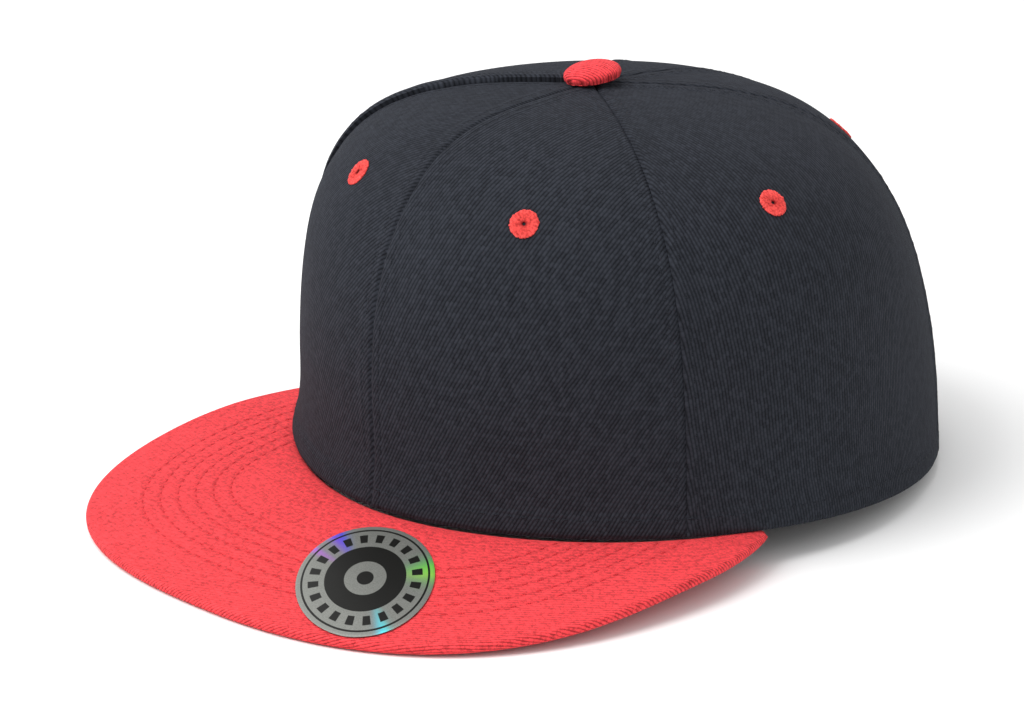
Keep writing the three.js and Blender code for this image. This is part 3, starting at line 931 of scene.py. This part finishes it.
cloth = upright[:, :2] / MM * (1 + 0.35 * (1 - share))[:, None]
layer = button.data.uv_layers.active
layer.name = PATTERN
write_map(layer, cloth[corner_points(button.data)])
lean_axis = Vector((math.cos(math.radians(BUTTON_LEAN_TURN)), math.sin(math.radians(BUTTON_LEAN_TURN)), 0))
leaning = np.array(Matrix.Rotation(math.radians(BUTTON_LEAN), 3, lean_axis))
move_to(button, upright @ leaning.T + np.array(BUTTON_SEAT) * MM)
smooth(button, 60)
button.data.materials.append(red_twill("button_twill", 6, 1.0, with_rows=False, rib_share=2.4))
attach(button, "root")
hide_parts("top_button")
print("button:", len(button.data.polygons), "faces")

# %% [markdown]
# Each panel has an embroidered eyelet: a small air hole with a ring of thread sewn round it, every thread running from
# the hole outwards. A torus gives the ring. Its surface is drawn into threads by moving points in and out around it,
# and its outer edge is made a little uneven, as sewn by a machine at speed.

# %% Eyelets
EYELET_REACH = 4.15
EYELET_HOLE = 0.45
EYELET_HEIGHT = 0.85
EYELET_THREADS = 58
EDGE_UNEVEN = 0.34
THREAD_RELIEF = 0.09
KNOT_RELIEF = 0.22
SEWN_UP = 0.12

bpy.ops.object.select_all(action="DESELECT")
bpy.ops.mesh.primitive_torus_add(
    major_radius=(EYELET_REACH + EYELET_HOLE) / 2 * MM,
    minor_radius=(EYELET_REACH - EYELET_HOLE) / 2 * MM,
    major_segments=EYELET_THREADS * 4,
    minor_segments=14,
)
eyelet = bpy.context.object
points = places(eyelet)
around = np.arctan2(points[:, 1], points[:, 0])
reach = np.hypot(points[:, 0], points[:, 1])
thread_number = np.floor((around + math.pi) / math.tau * EYELET_THREADS)
thread_wave = np.abs(np.sin((around + math.pi) / math.tau * EYELET_THREADS * math.pi))
uneven = (np.sin(thread_number * 12.9898) * 43758.5453) % 1 - 0.5
outer_share = ((reach / MM - EYELET_HOLE) / (EYELET_REACH - EYELET_HOLE)).clip(0, 1)
reach += uneven * EDGE_UNEVEN * MM * outer_share**2
half_height = EYELET_HEIGHT / 2 * MM
points[:, 2] *= half_height / ((EYELET_REACH - EYELET_HOLE) / 2 * MM)
points[:, 2] = np.sign(points[:, 2]) * np.abs(points[:, 2] / half_height) ** 0.7 * half_height
points[:, 2] += (thread_wave - 0.6) * THREAD_RELIEF * MM * (points[:, 2] > 0) * hill(outer_share, 0.55, 0.5)
points[:, 0], points[:, 1] = reach * np.cos(around), reach * np.sin(around)
points[:, 2] += KNOT_RELIEF * MM * murmur(points, 0.5 * MM, 5) * (points[:, 2] > 0)
eyelet_points = points
eyelet_faces = [list(face.vertices) for face in eyelet.data.polygons]
bpy.data.objects.remove(eyelet)


def embroidery(name):
    """Radial satin threads, drawn from the angle and reach that each point carries."""
    material, tree, shader = new_material(name, Roughness=0.6, Specular_IOR_Level=0.2)
    thread = place(tree, "ShaderNodeUVMap", uv_map=PATTERN).outputs[0]
    parts = place(tree, "ShaderNodeSeparateXYZ", {0: thread})
    # Painted shade between the satin threads: the wave is low where two threads meet.
    wave = maths(tree, "ABSOLUTE", maths(tree, "SINE", maths(tree, "MULTIPLY", parts.outputs["X"], math.pi)))
    spot = place(tree, "ShaderNodeCombineXYZ", {0: maths(tree, "FLOOR", parts.outputs["X"])})
    own = place(tree, "ShaderNodeTexWhiteNoise", {"Vector": spot.outputs[0]})
    there = place(tree, "ShaderNodeTexCoord").outputs["Object"]
    knots = place(tree, "ShaderNodeTexNoise", {"Vector": there, "Scale": 1500.0, "Detail": 3.0})
    tone = maths(tree, "MULTIPLY_ADD", own.outputs["Value"], 0.25, maths(tree, "MULTIPLY", wave, 0.2))
    tone = maths(tree, "MULTIPLY_ADD", knots.outputs["Fac"], 2.4, maths(tree, "SUBTRACT", tone, 0.75), clamp=True)
    # Painted shade at the hole: the tone falls to the dark thread colour at the ring's inner edge.
    inner = place(tree, "ShaderNodeMapRange", {"Value": parts.outputs["Y"], 1: 0.0, 2: 0.16})
    tone = maths(tree, "MULTIPLY", tone, inner.outputs[0])
    tree.links.new(blend(tree, tone, (0.42, 0.014, 0.014, 1), (0.96, 0.1, 0.088, 1)), shader.inputs["Base Color"])
    relief_of_thread = maths(tree, "ADD", wave, knots.outputs["Fac"])
    bump = place(tree, "ShaderNodeBump", {"Height": relief_of_thread, "Strength": 0.7, "Distance": 0.16 * MM})
    tree.links.new(bump.outputs[0], shader.inputs["Normal"])
    return material


eyelet_material = embroidery("eyelet_thread")
eyelet_uv = np.stack([(around + math.pi) / math.tau * EYELET_THREADS, outer_share], 1)
for which in PANELS:
    for side in ("left", "right"):
        node = f"eyelet_{which}_{side}"
        low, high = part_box(node)
        seat, facing, _, _ = surface_of(panels[which, side]).find_nearest((low + high) / 2)
        turn = np.array(facing.to_track_quat("Z", "Y").to_matrix())
        made = bpy.data.objects.new(f"embroidered_{node}", bpy.data.meshes.new(node))
        bpy.context.scene.collection.objects.link(made)
        here = eyelet_points @ turn.T + np.array(seat + facing * SEWN_UP * MM)
        made.data.from_pydata(here.tolist(), [], eyelet_faces)
        write_map(made.data.uv_layers.new(name=PATTERN), eyelet_uv[corner_points(made.data)])
        made.data.materials.append(eyelet_material)
        smooth(made)
        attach(made, "root")
        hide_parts(node)
print("eyelets:", len(eyelet_faces), "faces each")

# %% [markdown]
# The inner band is a folded strip of cotton twill sewn to the inside of the rim. It shows from below and through the
# back opening. Its cloth map runs round the head and up.

# %% Inner band
BAND_RADIUS = 90


def wrap_map(obj):
    """A cloth map that runs round the head and up, in millimetres."""
    points = places(obj)
    around = np.arctan2(points[:, 0], HOLLOW.y - points[:, 1]) * BAND_RADIUS
    wrapped = np.stack([around, points[:, 2] / MM], 1)
    write_map(obj.data.uv_layers.new(name=PATTERN), wrapped[corner_points(obj.data)])


band = copy_of("sweatband", "inner_band")
modify(band, "SUBSURF", levels=2, render_levels=2)
wrap_map(band)
points = places(band)
move_to(band, points + facings(band) * (0.2 * MM * murmur(points, 16 * MM, 4))[:, None])
smooth(band)
band.data.materials.append(crown_twill("band_cotton", 45))
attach(band, "root")
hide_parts("sweatband")
print("inner band:", len(band.data.polygons), "faces")

# %% [markdown]
# The foil sticker keeps the imported disc's form. Its print is a plain target of rings and ticks on a dull silver film.
# Such film is ruled with fine lines that split light. A few rays from its middle are painted into its colour in violet,
# green or blue: a painted reflection, fixed in place and stronger towards the rim.

# %% Sticker
sticker_low, sticker_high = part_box("peak_sticker")
sticker = copy_of("peak_sticker", "foil_sticker")
modify(sticker, "SUBSURF", levels=1, render_levels=1)
smooth(sticker, 40)

STICKER_HALF = (19 * MM, 32 * MM, 1)
STICKER_TURN = 45.7
TICKS = 20.0
TICK_RING = (0.66, 0.81)
INK_RINGS = [(0.885, 0.915), (0.3, 0.58), (-1.0, 0.12)]
# Rays of painted reflection colour, fixed in the foil's base colour.
SHIMMER_RAYS = [  # turn in degrees, width and strength
    (118, 0.13, 1.0),
    (5, 0.22, 0.9),
    (-72, 0.1, 0.7),
    (142, 0.07, 0.5),
]


def foil_print(name):
    material, tree, shader = new_material(name, Roughness=0.4, Specular_IOR_Level=0.25)
    there = place(tree, "ShaderNodeTexCoord").outputs["Object"]
    middle = (sticker_low + sticker_high) / 2
    local = place(
        tree, "ShaderNodeMapping",
        {"Vector": there, "Location": middle, "Rotation": (0, 0, math.radians(STICKER_TURN)), "Scale": STICKER_HALF},
        vector_type="TEXTURE",
    ).outputs[0]
    parts = place(tree, "ShaderNodeSeparateXYZ", {0: local})
    x, y = parts.outputs["X"], parts.outputs["Y"]
    reach = maths(tree, "SQRT", maths(tree, "ADD", maths(tree, "MULTIPLY", x, x), maths(tree, "MULTIPLY", y, y)))
    around = maths(tree, "ARCTAN2", y, x)

    def between(low, high):
        return maths(tree, "MULTIPLY", maths(tree, "GREATER_THAN", reach, low), maths(tree, "LESS_THAN", reach, high))

    def lobe(turn, width):
        off = maths(tree, "DIVIDE", maths(tree, "SUBTRACT", around, math.radians(turn)), width)
        return maths(tree, "EXPONENT", maths(tree, "MULTIPLY", maths(tree, "MULTIPLY", off, off), -1.0))

    ticks = maths(tree, "GREATER_THAN", maths(tree, "SINE", maths(tree, "MULTIPLY", around, TICKS)), 0.1)
    ink = maths(tree, "MULTIPLY", ticks, between(*TICK_RING))
    for ring in INK_RINGS:
        ink = maths(tree, "ADD", ink, between(*ring), clamp=True)
    sparkle = place(tree, "ShaderNodeTexNoise", {"Vector": there, "Scale": 2600.0, "Detail": 2.0}).outputs["Fac"]
    hue = maths(tree, "MULTIPLY_ADD", maths(tree, "ABSOLUTE", around), 0.2, 0.27)
    rainbow = place(tree, "ShaderNodeCombineColor", {0: hue, 1: 0.85, 2: 0.95}, mode="HSV").outputs[0]
    shimmer = 0.0
    for turn, width, strength in SHIMMER_RAYS:
        shimmer = maths(tree, "MULTIPLY_ADD", lobe(turn, width), strength, shimmer)
    rim_share = place(tree, "ShaderNodeMapRange", {"Value": reach, 1: 0.35, 2: 1.0}).outputs[0]
    shimmer = maths(tree, "MULTIPLY", shimmer, maths(tree, "MULTIPLY", rim_share, 1.4), clamp=True)
    foil = blend(tree, sparkle, (0.2, 0.207, 0.187, 1), (0.42, 0.43, 0.4, 1))
    silver = blend(tree, shimmer, foil, rainbow)
    tree.links.new(blend(tree, ink, silver, (0.006, 0.006, 0.005, 1)), shader.inputs["Base Color"])
    tree.links.new(maths(tree, "MULTIPLY_ADD", ink, -0.7, 0.7), shader.inputs["Metallic"])
    bump = place(tree, "ShaderNodeBump", {"Height": sparkle, "Strength": 0.15, "Distance": 0.05 * MM})
    tree.links.new(bump.outputs[0], shader.inputs["Normal"])
    return material


sticker.data.materials.append(foil_print("sticker_foil"))
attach(sticker, "root")
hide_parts("peak_sticker")

# %% [markdown]
# Two moulded plastic strips close the back. The one with studs comes from under the left back panel, and the one with
# holes lies over it, its tip rounded. Both are grids with the strip's own length and height, rounded where they end
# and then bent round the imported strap, whose place is read by rays from inside the hollow. The studs and the raised
# rims round the holes are modelled once and copied along the strip. Studs past the tongue's tip have no rim.

# %% Where the strap runs
cad_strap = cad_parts["snap_strap"]
strap_surface = surface_of(cad_strap)
strap_points = places(cad_strap)
strap_low, strap_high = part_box("snap_strap")
STRAP_WALL = 1.4
TONGUE_WALL = 1.2
STRAP_MIDDLE = (strap_high.z - strap_low.z) / 2


def behind_angle(points):
    """How far round a point is from the middle of the back, in radians, towards the wearer's left."""
    return np.arctan2(points[:, 0], points[:, 1] - HOLLOW.y)


def reach_inside(angle, height):
    """How far the strap's inner face is from the upright line through the hollow's middle."""
    start = Vector((0, HOLLOW.y, height))
    hit = strap_surface.ray_cast(start, Vector((math.sin(angle), math.cos(angle), 0)))[0]
    return None if hit is None else (hit - start).length


strap_end = behind_angle(strap_points).max() - 0.01
angles = np.linspace(-strap_end, strap_end, 121)
lean_step = 5 * MM
rows = [[reach_inside(angle, STRAP_MIDDLE + step) for angle in angles] for step in (-lean_step, lean_step)]


def filled(row):
    """A row of reaches, with those that no ray found taken from their neighbours."""
    met = np.array([reach is not None for reach in row])
    return np.interp(angles, angles[met], [reach for reach in row if reach is not None])


lower, upper = filled(rows[0]), filled(rows[1])
reach_at = (lower + upper) / 2
lean_at = (upper - lower) / (2 * lean_step)
strap_path = np.stack([reach_at * np.sin(angles), reach_at * np.cos(angles)], 1)
length_at = np.concatenate([[0], np.cumsum(np.linalg.norm(np.diff(strap_path, axis=0), axis=1))]) / MM
length_at -= np.interp(0, angles, length_at)
cad_angle = behind_angle(strap_points)
edge_low = np.array([strap_points[np.abs(cad_angle - angle) < 0.045, 2].min() for angle in angles])
edge_high = np.array([strap_points[np.abs(cad_angle - angle) < 0.045, 2].max() for angle in angles])


def bent_round(flat, depth):
    """Bends flat points (length, height share, outward) of a strip in millimetres round the back of the head."""
    angle = np.interp(flat[:, 0], length_at, angles)
    low, high = np.interp(angle, angles, edge_low), np.interp(angle, angles, edge_high)
    height = low + (high - low) * flat[:, 1]
    reach = np.interp(angle, angles, reach_at) + np.interp(angle, angles, lean_at) * (height - STRAP_MIDDLE)
    reach = reach + (depth + flat[:, 2]) * MM
    return np.stack([reach * np.sin(angle), HOLLOW.y + reach * np.cos(angle), height], 1)


outward_of = np.hypot(strap_points[:, 0], strap_points[:, 1] - HOLLOW.y)
beyond = (outward_of - np.interp(cad_angle, angles, reach_at)) / MM
above_studs = np.abs(strap_points[:, 2] - STRAP_MIDDLE) > 6 * MM
tongue_points = above_studs & (beyond > STRAP_WALL + 0.7 * TONGUE_WALL)
TONGUE_FROM, TONGUE_TO = np.interp([cad_angle[tongue_points].min(), cad_angle[tongue_points].max()], angles, length_at)


def reach_outside(angle):
    start = Vector((0, HOLLOW.y, STRAP_MIDDLE))
    ray = Vector((math.sin(angle), math.cos(angle), 0))
    hit = strap_surface.ray_cast(start + 0.2 * ray, -ray)[0]
    return 0 if hit is None else (hit - start).length


fine_angles = np.linspace(-strap_end, strap_end, 1500)
outermost = np.array([reach_outside(angle) for angle in fine_angles]) - np.interp(fine_angles, angles, reach_at)
on_stud = outermost / MM > STRAP_WALL + TONGUE_WALL + 0.4
stud_groups = np.split(fine_angles[on_stud], np.flatnonzero(np.diff(fine_angles[on_stud]) > 0.01) + 1)
STUDS = [np.interp(group.mean(), angles, length_at) for group in stud_groups]
strap_length = length_at[-1] - length_at[0]
print(f"strap {strap_length:.0f} mm, tongue {TONGUE_FROM:.0f} to {TONGUE_TO:.0f} mm, {len(STUDS)} studs")

# %% Strips, studs and rims
TIP_LENGTH = 9.0
PLASTIC_EDGE = 0.25


def strip_of_plastic(name, start, end, depth, wall, tip):
    """A strip between two lengths, with its end drawn in to a round tip, bent, thickened and softened."""
    bpy.ops.object.select_all(action="DESELECT")
    bpy.ops.mesh.primitive_grid_add(x_subdivisions=int(end - start), y_subdivisions=12, size=1)
    strip = bpy.context.object
    strip.name = name
    flat = places(strip)
    flat[:, 0] = start + (flat[:, 0] + 0.5) * (end - start)
    into_tip = ((flat[:, 0] - (end - TIP_LENGTH)) / TIP_LENGTH).clip(0, 1) if tip else 0 * flat[:, 0]
    flat[:, 1] = 0.5 + flat[:, 1] * 0.98 * np.sqrt(1 - (into_tip * 0.97) ** 2)
    flat[:, 2] = 0
    move_to(strip, bent_round(flat, depth))
    choose(strip, "polygons", lambda face: True)
    edit(strip, lambda: bpy.ops.mesh.normals_make_consistent(inside=False))
    outward = sum((face.normal.dot(face.center - HOLLOW) for face in strip.data.polygons))
    if outward < 0:
        edit(strip, bpy.ops.mesh.flip_normals)
    modify(strip, "SOLIDIFY", thickness=wall * MM, offset=1, use_even_offset=True)
    modify(strip, "BEVEL", width=PLASTIC_EDGE * MM, segments=2, limit_method="ANGLE", angle_limit=math.radians(50))
    smooth(strip, 40)
    return strip


def along_strip(name, part, spots, depth):
    """Copies a small part, made at the origin and facing +Z, to spots along the strip, as one mesh."""
    local = places(part) / MM
    faces = [list(face.vertices) for face in part.data.polygons]
    bpy.data.objects.remove(part)
    height = (strap_high.z - strap_low.z) / MM
    points, joined = [], []
    for number, spot in enumerate(spots):
        flat = np.stack([spot + local[:, 0], 0.5 + local[:, 1] / height, local[:, 2]], 1)
        points.append(bent_round(flat, depth))
        joined += [[vertex + number * len(local) for vertex in face] for face in faces]
    mesh = bpy.data.meshes.new(name)
    mesh.from_pydata(np.concatenate(points).tolist(), [], joined)
    made = bpy.data.objects.new(name, mesh)
    bpy.context.scene.collection.objects.link(made)
    choose(made, "polygons", lambda face: True)
    edit(made, lambda: bpy.ops.mesh.normals_make_consistent(inside=False))
    smooth(made, 35)
    return made


def strap_plastic(name):
    """Satin moulded plastic, with a fine grain and a few scuffs."""
    material, tree, shader = new_material(name, Specular_IOR_Level=0.4)
    there = place(tree, "ShaderNodeTexCoord").outputs["Object"]
    grain = place(tree, "ShaderNodeTexNoise", {"Vector": there, "Scale": 1800.0, "Detail": 2.0}).outputs["Fac"]
    cloud = place(tree, "ShaderNodeTexNoise", {"Vector": there, "Scale": 90.0, "Detail": 4.0}).outputs["Fac"]
    scuffed = place(tree, "ShaderNodeMapRange", {"Value": cloud, 1: 0.45, 2: 0.7, 3: 0.34, 4: 0.52}).outputs[0]
    tree.links.new(scuffed, shader.inputs["Roughness"])
    colour = blend(tree, cloud, (0.007, 0.0075, 0.01, 1), (0.016, 0.017, 0.022, 1))
    tree.links.new(colour, shader.inputs["Base Color"])
    bump = place(tree, "ShaderNodeBump", {"Height": grain, "Strength": 0.25, "Distance": 0.03 * MM})
    tree.links.new(bump.outputs[0], shader.inputs["Normal"])
    return material


bpy.ops.object.select_all(action="DESELECT")
bpy.ops.mesh.primitive_cylinder_add(radius=2.0 * MM, depth=2.6 * MM, vertices=28, location=(0, 0, -0.4 * MM))
stud = bpy.context.object
bpy.ops.object.transform_apply(location=True, rotation=True, scale=True)
modify(stud, "BEVEL", width=0.4 * MM, segments=3, limit_method="ANGLE", angle_limit=math.radians(50))
bpy.ops.object.select_all(action="DESELECT")
bpy.ops.mesh.primitive_torus_add(
    major_radius=2.75 * MM, minor_radius=0.4 * MM, major_segments=32, minor_segments=8, location=(0, 0, 0)
)
rim_of_hole = bpy.context.object

outer_face = STRAP_WALL + TONGUE_WALL
HOLE_FROM_END = 4
holes = [spot for spot in STUDS if TONGUE_FROM + HOLE_FROM_END < spot < TONGUE_TO - HOLE_FROM_END]
closure = [
    strip_of_plastic("strap_with_studs", length_at[0], length_at[-1], 0, STRAP_WALL - 0.05, tip=False),
    strip_of_plastic("strap_with_holes", TONGUE_FROM, TONGUE_TO, STRAP_WALL + 0.02, TONGUE_WALL - 0.05, tip=True),
    along_strip("strap_studs", stud, STUDS, outer_face),
    along_strip("strap_hole_rims", rim_of_hole, holes, outer_face),
]
plastic = strap_plastic("strap_plastic")
for made in closure:
    made.data.materials.append(plastic)
    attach(made, "root")
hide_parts("snap_strap")
print("closure:", {made.name: len(made.data.polygons) for made in closure})
